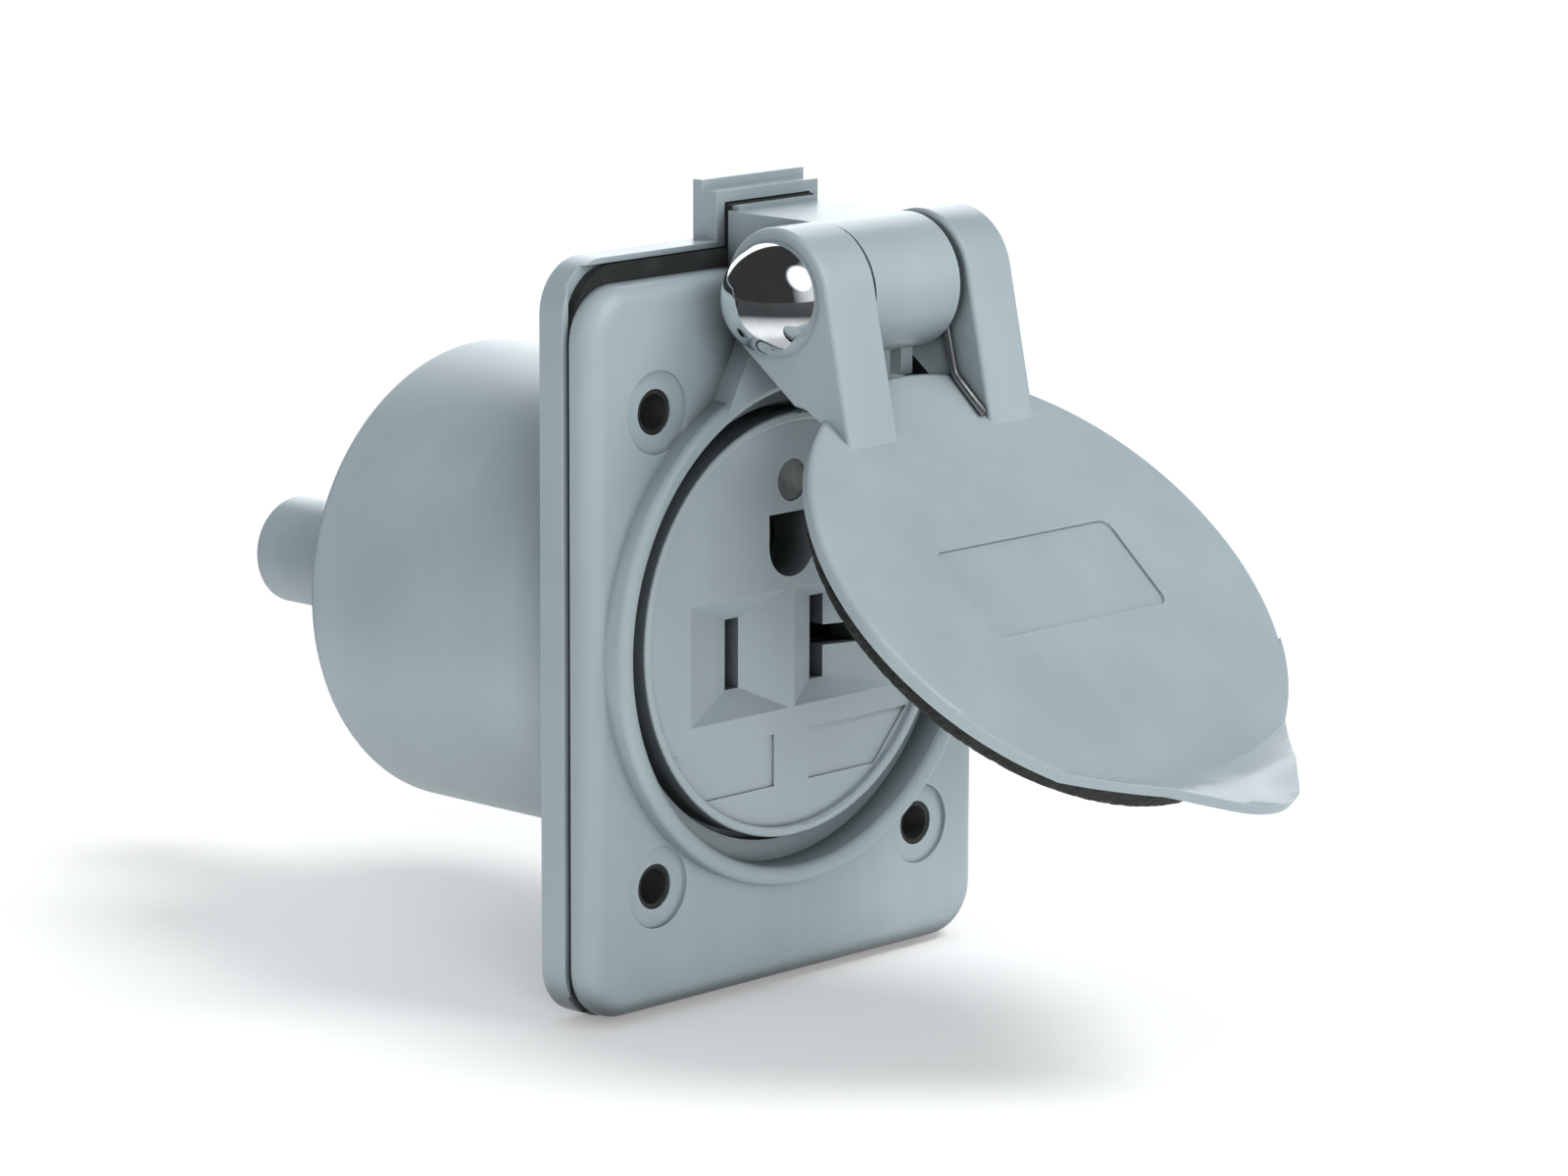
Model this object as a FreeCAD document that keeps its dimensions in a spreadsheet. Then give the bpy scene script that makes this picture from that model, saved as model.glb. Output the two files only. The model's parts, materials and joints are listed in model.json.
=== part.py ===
import FreeCAD, Part
import math
import os
import Sketcher
from FreeCAD import Placement, Rotation, Vector

# Flanged weatherproof receptacle with a spring flip lid and a closed back cup.
# Frame: +Z up, +X right, +Y into the panel.  The origin is on the receptacle's axis, at the
# rear face of the flange, which is the face that rests on the panel.
# "fwd" is a distance in front of that face (towards -Y), so y = -fwd.

os.makedirs("parts", exist_ok=True)
doc = FreeCAD.newDocument("flip_lid_receptacle")

DRIVING = {
    # front plate
    "plate_half": 29.1, "plate_low": -37.8, "plate_high": 37.5, "plate_back": 3.95, "plate_front": 6.95,
    "corner_r": 5.5, "plate_round": 2.2, "ring_out": 27.2, "ring_in": 25.2, "ring_crest": 9.5,
    "ring_round": 0.9, "recess_floor": 5.45, "opening_r": 23.0, "hole_x": 19.7, "hole_low": -24.64,
    "hole_high": 24.36, "hole_rad": 2.35, "sink_rad": 4.3, "sink_floor": 6.5,
    "plate_tab_half": 5.8, "plate_tab_high": 43.7, "plate_tab_front": 4.9,
    # hinge
    "hinge_fwd": 17.65, "hinge_up": 36.4, "barrel_rad": 6.9, "block_left": -6.4, "block_right": 6.0,
    "block_low": 29.5, "block_high": 43.2, "neck_half_low": 13.0, "neck_half_high": 7.4, "neck_low": 22.0,
    "neck_high": 32.0, "bore_rad": 2.05, "pin_rad": 2.0, "spring_bore": 4.4, "spring_floor": -4.6,
    "lug_left": 2.2, "lug_right": 3.9, "lug_back": 18.5, "lug_front": 20.0, "lug_low": 27.15, "lug_high": 31.0,
    # lid
    "ear_rad": 7.1, "ear_out": 13.8, "ear_in_left": 6.6, "ear_in_right": 7.2, "ear_rear": 11.3,
    "ear_foot": 19.4, "ear_root": 25.7, "ear_knee": 27.5, "ear_round": 0.5, "lid_rad": 27.5,
    "lid_front": 13.95, "lid_back": 12.55, "lid_edge": 0.6, "lid_tip": 36.7, "tip_round": 6.6,
    "tab_bend_rad": 42.0, "tab_centre": 16.6, "knee_rise": 0.94, "tip_rise": 0.5, "flare_start": 4.0,
    "knee_width": 4.0, "flare_width": 12.0, "prism_front": 26.0,
    "badge_half": 13.0, "badge_low": -5.6, "badge_high": 5.6, "badge_round": 1.2, "badge_depth": 0.3,
    "foam_rad": 26.4, "foam_back": 10.0, "open_deg": 48.7, "pin_stub": 1.4,
    "dome_rad": 5.85, "dome_high": 5.3, "button_rad": 5.0, "button_high": 2.2,
    # torsion spring
    "coil_rad": 3.3, "wire_rad": 0.4, "coil_left": -4.1, "coil_right": 6.6, "coil_turns": 10,
    "tail_end": -5.8, "tail_hole": 0.55, "tail_floor": -6.0, "leg_fwd": 14.42, "leg_up": 26.0, "toe_up": 20.6,
    # flange and cup
    "flange_half": 29.4, "flange_low": -37.9, "flange_high": 40.1, "flange_front": 3.35, "tray_half": 28.6,
    "tray_low": -37.1, "tray_high": 39.5, "tray_floor": 2.85, "tab_half": 7.5, "tab_high": 45.2,
    "tab_wall": 1.2, "lip_front": 1.3, "lip_high": 46.2, "cup_rad": 25.0, "cup_wall": 2.0, "cup_up": -0.5,
    "cup_depth": 39.85, "cup_round": 1.2, "boss_rad": 5.95, "boss_depth": 69.75, "boss_up": -2.4,
    "boss_bore": 4.4, "seat_rad": 24.9, "seat_floor": 1.2,
    # gaskets and seals
    "gasket_gap": 0.15, "gasket_bore": 25.6, "collar_rad": 2.3, "collar_bore": 1.85, "collar_front": 6.3,
    "seal_in": 23.3, "seal_out": 24.5,
    # receptacle
    "face_rad": 22.35, "face_rim": 7.85, "rim_width": 1.1, "face_front": 7.0, "face_flange": 24.6,
    "flange_top": 3.5, "face_back": 1.25, "base_rad": 19.4, "base_depth": 19.0, "well_floor": 4.45,
    "blade_x": 6.35, "blade_up": -2.7, "blade_wide": 2.0, "hot_long": 7.4, "neutral_long": 8.9,
    "arm_high": 2.2, "arm_reach": 4.6, "ground_up": 8.3, "ground_rad": 3.4, "ground_flat": 3.4,
    "rivet_up": 15.0, "rivet_rad": 2.2, "rivet_sink": 6.2, "shank_rad": 1.2, "shank_bore": 1.3,
    "rivet_head": 2.1, "rivet_top": 6.85, "rivet_end": 1.8, "rim_round": 0.35, "boss_round": 0.8,
    "funnel_out": 14.9, "funnel_in": 0.4, "funnel_low": -8.9, "funnel_high": 3.7, "panel_top_out": 17.6,
    "panel_low_out": 12.6, "panel_in": 2.6, "panel_low": -16.9, "panel_high": -11.4, "panel_floor": 6.7,
    "pilot_rad": 1.25,
    "pilot_end": 3.2, "screw_x": 10.4, "screw_up": -12.6, "screw_head": 2.6, "head_high": 1.6,
    "screw_bore": 1.4,
    # contacts, terminal screws and wire clamps
    "leaf": 0.8, "leaf_front": 0.9, "leaf_half": 3.0, "web_front": 13.0, "web_back": 13.8, "well_back": 14.2,
    "well_in": 4.1, "well_out": 8.6, "arm_well": 12.8, "well_half": 4.9, "link_half": 3.2, "link_front": 12.6,
    "tab_near": 14.8, "tab_far": 15.6, "tab_front": 4.0, "tab_wide": 4.0, "pocket_in": 14.7,
    "pocket_half": 5.0, "pocket_front": 2.5, "terminal_depth": 8.4, "clamp_near": 15.9, "clamp_far": 17.1,
    "clamp_half": 3.9, "head_near": 17.2, "head_far": 19.2, "head_rad": 3.3, "thread_rad": 1.7,
    "thread_bore": 1.8, "thread_end": 10.8, "bore_end": 10.5, "ground_tube": 3.2, "ground_inside": 2.4,
    "ground_well": 3.4, "ground_rise": 0.8, "ground_thread": 12.2, "ground_bore": 12.0, "slit_half": 0.6,
    "base_out": 21.0, "rivet_wall": 3.0, "rivet_bore_end": 2.2, "slot_floor": 18.5, "ground_slot": 19.3,
    "slot_front": 7.9, "slot_back": 8.9, "screw_tip": 3.1, "cap_window": 60.0, "socket_end": 15.4,
    # cable grommet
    "grommet_rad": 4.35, "grommet_bore": 3.1, "grommet_start": 55.0, "grommet_end": 69.6,
}

DERIVED = {
    "lip_bend_up": "=tab_centre - tab_bend_rad", "lip_in_up": "=lip_bend_up + flare_start",
    "lip_knee_up": "=lip_bend_up - knee_width", "lip_knee_front": "=lid_front + knee_width * knee_rise",
    "lip_knee_back": "=lid_back + knee_width * knee_rise", "lip_out_up": "=lip_bend_up - flare_width",
    "lip_out_front": "=lip_knee_front + (flare_width - knee_width) * tip_rise",
    "lip_out_back": "=lip_knee_back + (flare_width - knee_width) * tip_rise",
    "tangent_x": "=lid_rad * sqrt(1 - (lid_rad / lid_tip)^2)", "tangent_down": "=lid_rad^2 / lid_tip",
    "barrel_low": "=hinge_up - barrel_rad",
    "ear_span": "=(hinge_fwd - lid_front)^2 + (hinge_up - ear_foot)^2",
    "ear_near": "=ear_rad^2 / ear_span", "ear_wide": "=ear_rad * sqrt(ear_span - ear_rad^2) / ear_span",
    "ear_tan_fwd": "=hinge_fwd + ear_near * (lid_front - hinge_fwd) + ear_wide * (hinge_up - ear_foot)",
    "ear_tan_up": "=hinge_up + ear_near * (ear_foot - hinge_up) + ear_wide * (lid_front - hinge_fwd)",
    "rear_span": "=(hinge_fwd - ear_rear)^2 + (hinge_up - ear_knee)^2",
    "rear_near": "=ear_rad^2 / rear_span", "rear_wide": "=ear_rad * sqrt(rear_span - ear_rad^2) / rear_span",
    "rear_tan_fwd": "=hinge_fwd + rear_near * (ear_rear - hinge_fwd) - rear_wide * (hinge_up - ear_knee)",
    "rear_tan_up": "=hinge_up + rear_near * (ear_knee - hinge_up) - rear_wide * (ear_rear - hinge_fwd)",
    "tray_tab_half": "=tab_half - tab_wall", "tray_tab_high": "=tab_high - tab_wall",
    "seal_half": "=tray_half - gasket_gap", "seal_low": "=tray_low + gasket_gap",
    "seal_high": "=tray_high - gasket_gap", "seal_tab_half": "=tray_tab_half - gasket_gap",
    "seal_tab_high": "=tray_tab_high - gasket_gap", "cup_inside": "=cup_rad - cup_wall",
    "cup_floor": "=cup_depth - cup_wall", "rim_in": "=face_rad - rim_width",
    "face_seal_back": "=flange_top + 0.02", "badge_floor": "=lid_front - badge_depth",
    "dome_out": "=ear_out + dome_high", "button_out": "=ear_out + button_high",
    "dome_ball": "=(dome_rad^2 + dome_high^2) / (2 * dome_high)", "dome_centre": "=dome_out - dome_ball",
    "button_ball": "=(button_rad^2 + button_high^2) / (2 * button_high)",
    "button_centre": "=button_out - button_ball",
    "pin_end": "=ear_out + pin_stub", "hot_left": "=-blade_x - blade_wide / 2",
    "hot_right": "=-blade_x + blade_wide / 2", "hot_low": "=blade_up - hot_long / 2",
    "hot_high": "=blade_up + hot_long / 2", "neutral_left": "=blade_x - blade_wide / 2",
    "neutral_right": "=blade_x + blade_wide / 2", "neutral_low": "=blade_up - neutral_long / 2",
    "neutral_high": "=blade_up + neutral_long / 2", "arm_low": "=blade_up - arm_high / 2",
    "arm_top": "=blade_up + arm_high / 2", "arm_end": "=blade_x + arm_reach + blade_wide / 2",
    "ground_top": "=ground_up + ground_flat", "leaf_low": "=blade_up - leaf_half",
    "leaf_high": "=blade_up + leaf_half", "hot_leaf_out": "=hot_left - leaf",
    "hot_leaf_in": "=hot_right + leaf",
    "neutral_leaf_in": "=neutral_left - leaf", "neutral_leaf_out": "=neutral_right + leaf",
    "arm_leaf_top": "=arm_top + leaf", "arm_leaf_low": "=arm_low - leaf", "well_low": "=blade_up - well_half",
    "well_high": "=blade_up + well_half", "link_low": "=blade_up - link_half",
    "link_high": "=blade_up + link_half", "tab_low": "=blade_up - tab_wide",
    "tab_top": "=blade_up + tab_wide",
    "pocket_low": "=blade_up - pocket_half", "pocket_high": "=blade_up + pocket_half",
    "clamp_low": "=blade_up - clamp_half", "clamp_high": "=blade_up + clamp_half",
    "clamp_front": "=terminal_depth - clamp_half", "clamp_back": "=terminal_depth + clamp_half",
    "ground_plate_low": "=tab_near + ground_rise", "ground_plate_high": "=tab_far + ground_rise",
    "ground_clamp_low": "=clamp_near + ground_rise", "ground_clamp_high": "=clamp_far + ground_rise",
    "ground_head_low": "=head_near + ground_rise", "ground_head_high": "=head_far + ground_rise",
    "ground_pocket": "=pocket_in + ground_rise", "screw_top": "=base_depth + head_high",
    "coil_pitch": "=(coil_right - coil_left) / coil_turns",
}

sheet = doc.addObject("Spreadsheet::Sheet", "dims")


def cell(alias, value, row):
    sheet.set("A%d" % row, alias)
    sheet.set("B%d" % row, str(value))
    sheet.setAlias("B%d" % row, alias)


for row, (alias, value) in enumerate(list(DRIVING.items()) + list(DERIVED.items()), start=1):
    cell(alias, value, row)
doc.recompute()


def coil_angle():
    """Direction in the side view (degrees from +Y towards +Z) of the point where the leg leaves the coil."""
    rise = sheet.get("leg_up") - sheet.get("hinge_up")
    run = sheet.get("hinge_fwd") - sheet.get("leg_fwd")
    return math.degrees(math.atan2(rise, run) - math.acos(sheet.get("coil_rad") / math.hypot(rise, run)))


REST_ANGLE = coil_angle() - sheet.get("open_deg")
TAIL = math.radians(REST_ANGLE)
FIRST_FREE_ROW = len(DRIVING) + len(DERIVED) + 1
cell("tail_y", -sheet.get("hinge_fwd") + sheet.get("coil_rad") * math.cos(TAIL), FIRST_FREE_ROW)
cell("tail_up", sheet.get("hinge_up") + sheet.get("coil_rad") * math.sin(TAIL), FIRST_FREE_ROW + 1)
doc.recompute()


def val(term):
    """The number behind a dimension name or a plain number; a leading minus flips the sign."""
    if not isinstance(term, str):
        return float(term)
    if term.startswith("-"):
        return -val(term[1:])
    return float(sheet.get(term))


def expr(term):
    """The same term as an expression that stays bound to the sheet."""
    if not isinstance(term, str):
        return "%.6f" % term
    if term.startswith("-"):
        return "-dims.%s" % term[1:]
    return "dims.%s" % term


def diff(high, low):
    return "%s - (%s)" % (expr(high), expr(low))


# ---------------------------------------------------------------- plain solids bound to the sheet

def box(name, x0, x1, back, front, z0, z1):
    """A block between x0 and x1, back and front (distances forward), z0 and z1."""
    item = doc.addObject("Part::Box", name)
    item.setExpression("Length", diff(x1, x0))
    item.setExpression("Width", diff(front, back))
    item.setExpression("Height", diff(z1, z0))
    item.setExpression("Placement.Base.x", expr(x0))
    item.setExpression("Placement.Base.y", "-(%s)" % expr(front))
    item.setExpression("Placement.Base.z", expr(z0))
    return item


def disc(name, radius, back, front, x=0, z=0):
    """A cylinder whose axis runs forward, from back to front."""
    item = doc.addObject("Part::Cylinder", name)
    item.setExpression("Radius", expr(radius))
    item.setExpression("Height", diff(front, back))
    item.Placement = Placement(Vector(0, 0, 0), Rotation(Vector(1, 0, 0), 90))
    item.setExpression("Placement.Base.x", expr(x))
    item.setExpression("Placement.Base.y", "-(%s)" % expr(back))
    item.setExpression("Placement.Base.z", expr(z))
    return item


def rod(name, radius, x0, x1, fwd, z):
    """A cylinder whose axis runs along +X, from x0 to x1."""
    item = doc.addObject("Part::Cylinder", name)
    item.setExpression("Radius", expr(radius))
    item.setExpression("Height", diff(x1, x0))
    item.Placement = Placement(Vector(0, 0, 0), Rotation(Vector(0, 1, 0), 90))
    item.setExpression("Placement.Base.x", expr(x0))
    item.setExpression("Placement.Base.y", "-(%s)" % expr(fwd))
    item.setExpression("Placement.Base.z", expr(z))
    return item


def fuse(name, shapes):
    item = doc.addObject("Part::MultiFuse", name)
    item.Shapes = shapes
    return item


def group(name, shapes):
    """Separate solids kept together as one item."""
    item = doc.addObject("Part::Compound", name)
    item.Links = shapes
    return item


def common(name, shapes):
    item = doc.addObject("Part::MultiCommon", name)
    item.Shapes = shapes
    return item


def cut(name, base, tool):
    item = doc.addObject("Part::Cut", name)
    item.Base = base
    item.Tool = tool
    return item


# ---------------------------------------------------------------- sketches and bodies

FORWARD = "XZ_Plane"
SIDE = "YZ_Plane"


def plane_of(body, role):
    return [item for item in body.Origin.OriginFeatures if item.Role == role][0]


def new_body(label):
    body = doc.addObject("PartDesign::Body", label)
    body.Label = label
    return body


def new_sketch(body, name, role, offset):
    """A sketch on one of the body's own planes; FORWARD faces -Y and SIDE faces +X."""
    sketch = body.newObject("Sketcher::SketchObject", name)
    sketch.AttachmentSupport = [(plane_of(body, role), "")]
    sketch.MapMode = "FlatFace"
    sketch.setExpression("AttachmentOffset.Base.z", expr(offset))
    return sketch


def bind(sketch, kind, where, term):
    index = sketch.addConstraint(Sketcher.Constraint(kind, *where, val(term)))
    sketch.setExpression("Constraints[%d]" % index, expr(term))


def add_polygon(sketch, points):
    """A closed outline whose corners are tied to the sketch origin."""
    spots = [Vector(val(px), val(py), 0) for px, py in points]
    first = sketch.GeometryCount
    count = len(spots)
    for index in range(count):
        sketch.addGeometry(Part.LineSegment(spots[index], spots[(index + 1) % count]))
    for index in range(count):
        after = first + (index + 1) % count
        sketch.addConstraint(Sketcher.Constraint("Coincident", first + index, 2, after, 1))
    for index, (px, py) in enumerate(points):
        bind(sketch, "DistanceX", (-1, 1, first + index, 1), px)
        bind(sketch, "DistanceY", (-1, 1, first + index, 1), py)


def add_rectangle(sketch, left, right, low, high):
    add_polygon(sketch, [(left, low), (right, low), (right, high), (left, high)])


def add_circle(sketch, radius, x=0, y=0):
    index = sketch.addGeometry(Part.Circle(Vector(val(x), val(y), 0), Vector(0, 0, 1), val(radius)))
    bind(sketch, "Radius", (index,), radius)
    bind(sketch, "DistanceX", (-1, 1, index, 3), x)
    bind(sketch, "DistanceY", (-1, 1, index, 3), y)


def pad(body, sketch, high, low, back=False):
    item = body.newObject("PartDesign::Pad", sketch.Name + "_pad")
    item.Profile = sketch
    item.setExpression("Length", diff(high, low))
    item.Reversed = back
    doc.recompute()
    return item


def pocket(body, sketch, high, low, back=True):
    """Removes material from the sketch plane; back=True cuts towards the panel."""
    before = body.Shape.Volume
    item = body.newObject("PartDesign::Pocket", sketch.Name + "_pocket")
    item.Profile = sketch
    item.setExpression("Length", diff(high, low))
    item.Reversed = not back
    doc.recompute()
    if body.Shape.Volume >= before:
        raise ValueError("%s removes nothing" % item.Name)
    return item


def outline_edges(shape, test):
    return ["Edge%d" % (index + 1) for index, edge in enumerate(shape.Edges) if test(edge)]


def round_body(body, name, radius, test):
    base = body.Tip
    names = outline_edges(base.Shape, test)
    item = body.newObject("PartDesign::Fillet", name)
    item.Base = (base, names)
    item.setExpression("Radius", expr(radius))
    doc.recompute()
    return item


def runs_along(edge, axis):
    if not isinstance(edge.Curve, Part.Line):
        return False
    return abs(abs(edge.Curve.Direction.dot(axis)) - 1) < 1e-6


def flat_at(edge, fwd):
    """True if the whole edge lies in the plane fwd in front of the panel face."""
    bounds = edge.BoundBox
    return abs(bounds.YMin + fwd) < 1e-4 and abs(bounds.YMax + fwd) < 1e-4


def in_side_plane(edge, places):
    """True if the whole edge lies in one of the planes across x at places."""
    bounds = edge.BoundBox
    return any(abs(bounds.XMin - x) < 1e-4 and abs(bounds.XMax - x) < 1e-4 for x in places)


Y_AXIS = Vector(0, 1, 0)
EAR_SIDES = (("left", "-ear_out", "-ear_in_left"), ("right", "ear_in_right", "ear_out"))
HOLES = [("-hole_x", "hole_low"), ("hole_x", "hole_low"), ("hole_x", "hole_high"), ("-hole_x", "hole_high")]
SCREW_SPOTS = [("-screw_x", "screw_up"), ("screw_x", "screw_up")]
CENTRE = [(0, 0)]
NODES = []


def keep(item, label):
    """Marks a finished sub-part for export under its own name."""
    item.Label = label
    NODES.append((label, item))
    return item


def tabbed_outline(sketch, half, low, high, tab_half, tab_high):
    """A rectangle with a narrower tab standing on its top edge."""
    add_polygon(sketch, [("-" + half, low), (half, low), (half, high), (tab_half, high), (tab_half, tab_high),
                         ("-" + tab_half, tab_high), ("-" + tab_half, high), ("-" + half, high)])


def corner_edges(half):
    """Edges that run front to back at the outer corners, left and right."""
    side = val(half)
    return lambda edge: runs_along(edge, Y_AXIS) and abs(abs(edge.Vertexes[0].X) - side) < 1e-4


def circles_at(body, name, role, offset, radius, centres, high, low, back=True):
    sketch = new_sketch(body, name, role, offset)
    for x, y in centres:
        add_circle(sketch, radius, x, y)
    return pocket(body, sketch, high, low, back)


def make_front_plate():
    """Plate with the raised ring, the hinge block, the barrel of the lid's pin and a lug below the barrel."""
    body = new_body("front_plate")
    outline = new_sketch(body, "plate_outline", FORWARD, "plate_back")
    add_rectangle(outline, "-plate_half", "plate_half", "plate_low", "plate_high")
    pad(body, outline, "plate_front", "plate_back")
    round_body(body, "plate_corners", "corner_r", corner_edges("plate_half"))
    front = val("plate_front")
    round_body(body, "plate_edge", "plate_round", lambda edge: flat_at(edge, front))
    ring = new_sketch(body, "ring_outline", FORWARD, "plate_back")
    add_circle(ring, "ring_out")
    pad(body, ring, "ring_crest", "plate_back")
    neck = new_sketch(body, "neck_outline", FORWARD, "plate_back")
    add_polygon(neck, [("-neck_half_low", "neck_low"), ("neck_half_low", "neck_low"),
                       ("neck_half_high", "neck_high"), ("-neck_half_high", "neck_high")])
    pad(body, neck, "ring_crest", "plate_back")
    tab = new_sketch(body, "plate_tab_outline", FORWARD, "plate_back")
    add_rectangle(tab, "-plate_tab_half", "plate_tab_half", "block_low", "plate_tab_high")
    pad(body, tab, "plate_tab_front", "plate_back")
    block = new_sketch(body, "block_side", SIDE, "block_left")
    add_polygon(block, [("-plate_back", "block_low"), ("-plate_back", "block_high"),
                        ("-hinge_fwd", "block_high"), ("-hinge_fwd", "barrel_low")])
    pad(body, block, "block_right", "block_left")
    barrel = new_sketch(body, "barrel_side", SIDE, "block_left")
    add_circle(barrel, "barrel_rad", "-hinge_fwd", "hinge_up")
    pad(body, barrel, "block_right", "block_left")
    lug = new_sketch(body, "lug_side", SIDE, "lug_left")
    add_polygon(lug, [("-lug_back", "lug_low"), ("-lug_back", "lug_high"), ("-lug_front", "lug_high"),
                      ("-lug_front", "lug_low")])
    pad(body, lug, "lug_right", "lug_left")
    circles_at(body, "recess", FORWARD, "ring_crest", "ring_in", CENTRE, "ring_crest", "recess_floor")
    circles_at(body, "face_opening", FORWARD, "recess_floor", "opening_r", CENTRE,
               "recess_floor", "plate_back")
    circles_at(body, "hole_sinks", FORWARD, "plate_front", "sink_rad", HOLES, "plate_front", "sink_floor")
    circles_at(body, "holes", FORWARD, "plate_front", "hole_rad", HOLES, "plate_front", "plate_back")
    axis_spot = [("-hinge_fwd", "hinge_up")]
    circles_at(body, "pin_bore", SIDE, "block_right", "bore_rad", axis_spot, "block_right", "block_left")
    circles_at(body, "spring_bore_cut", SIDE, "block_right", "spring_bore", axis_spot,
               "block_right", "spring_floor")
    circles_at(body, "tail_bore", SIDE, "spring_floor", "tail_hole", [("tail_y", "tail_up")],
               "spring_floor", "tail_floor")
    crest = val("ring_crest")
    round_body(body, "ring_edge", "ring_round", lambda edge: flat_at(edge, crest)
               and isinstance(edge.Curve, Part.Circle))
    return keep(body, "front_plate")


def make_plate_gasket():
    """Flat gasket between plate and flange, with a collar standing in each of the plate's holes."""
    body = new_body("plate_gasket")
    outline = new_sketch(body, "gasket_outline", FORWARD, "tray_floor")
    tabbed_outline(outline, "seal_half", "seal_low", "seal_high", "seal_tab_half", "seal_tab_high")
    pad(body, outline, "plate_back", "tray_floor")
    round_body(body, "gasket_corners", "corner_r", corner_edges("seal_half"))
    circles_at(body, "gasket_opening", FORWARD, "plate_back", "gasket_bore", CENTRE,
               "plate_back", "tray_floor")
    collars = new_sketch(body, "collar_outlines", FORWARD, "tray_floor")
    for x, z in HOLES:
        add_circle(collars, "collar_rad", x, z)
    pad(body, collars, "collar_front", "tray_floor")
    circles_at(body, "collar_bores", FORWARD, "collar_front", "collar_bore", HOLES,
               "collar_front", "tray_floor")
    return keep(body, "plate_gasket")


def make_back_cup():
    """Flange with a shallow tray for the gasket, the closed cup behind it and the cable boss."""
    body = new_body("back_cup")
    outline = new_sketch(body, "flange_outline", FORWARD, 0)
    tabbed_outline(outline, "flange_half", "flange_low", "flange_high", "tab_half", "tab_high")
    pad(body, outline, "flange_front", 0)
    lip = new_sketch(body, "lip_outline", FORWARD, 0)
    add_rectangle(lip, "-tab_half", "tab_half", "seal_high", "lip_high")
    pad(body, lip, "lip_front", 0)
    round_body(body, "flange_corners", "corner_r", corner_edges("flange_half"))
    cup = new_sketch(body, "cup_outline", FORWARD, 0)
    add_circle(cup, "cup_rad", 0, "cup_up")
    pad(body, cup, "cup_depth", 0, back=True)
    depth = val("cup_depth")
    round_body(body, "cup_edge", "cup_round", lambda edge: flat_at(edge, -depth))
    boss = new_sketch(body, "boss_outline", FORWARD, 0)
    add_circle(boss, "boss_rad", 0, "boss_up")
    pad(body, boss, "boss_depth", 0, back=True)
    end = val("boss_depth")
    round_body(body, "boss_edge", "boss_round", lambda edge: flat_at(edge, -end))
    tray = new_sketch(body, "tray_outline", FORWARD, "flange_front")
    tabbed_outline(tray, "tray_half", "tray_low", "tray_high", "tray_tab_half", "tray_tab_high")
    pocket(body, tray, "flange_front", "tray_floor")
    circles_at(body, "seat", FORWARD, "flange_front", "seat_rad", CENTRE, "flange_front", "seat_floor")
    circles_at(body, "cup_hollow", FORWARD, "seat_floor", "cup_inside", [(0, "cup_up")],
               "seat_floor", "-cup_floor")
    circles_at(body, "boss_bore_cut", FORWARD, 0, "boss_bore", [(0, "boss_up")], "boss_depth", 0)
    circles_at(body, "flange_holes", FORWARD, "flange_front", "hole_rad", HOLES, "flange_front", 0)
    return keep(body, "back_cup")


def funnel(body, name, left, right, slot):
    """A four-sided funnel from the face down to the mouth of a blade slot."""
    mouth = new_sketch(body, name + "_mouth", FORWARD, "face_front")
    add_rectangle(mouth, left, right, "funnel_low", "funnel_high")
    floor = new_sketch(body, name + "_floor", FORWARD, "well_floor")
    add_rectangle(floor, *slot)
    before = body.Shape.Volume
    loft = body.newObject("PartDesign::SubtractiveLoft", name)
    loft.Profile = mouth
    loft.Sections = [floor]
    loft.Ruled = True
    doc.recompute()
    if body.Shape.Volume >= before:
        raise ValueError("%s removes nothing" % name)


def slot_cut(body, name, left, right, low, high, start="face_front"):
    sketch = new_sketch(body, name, FORWARD, start)
    add_rectangle(sketch, left, right, low, high)
    pocket(body, sketch, start, "face_back")


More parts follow.
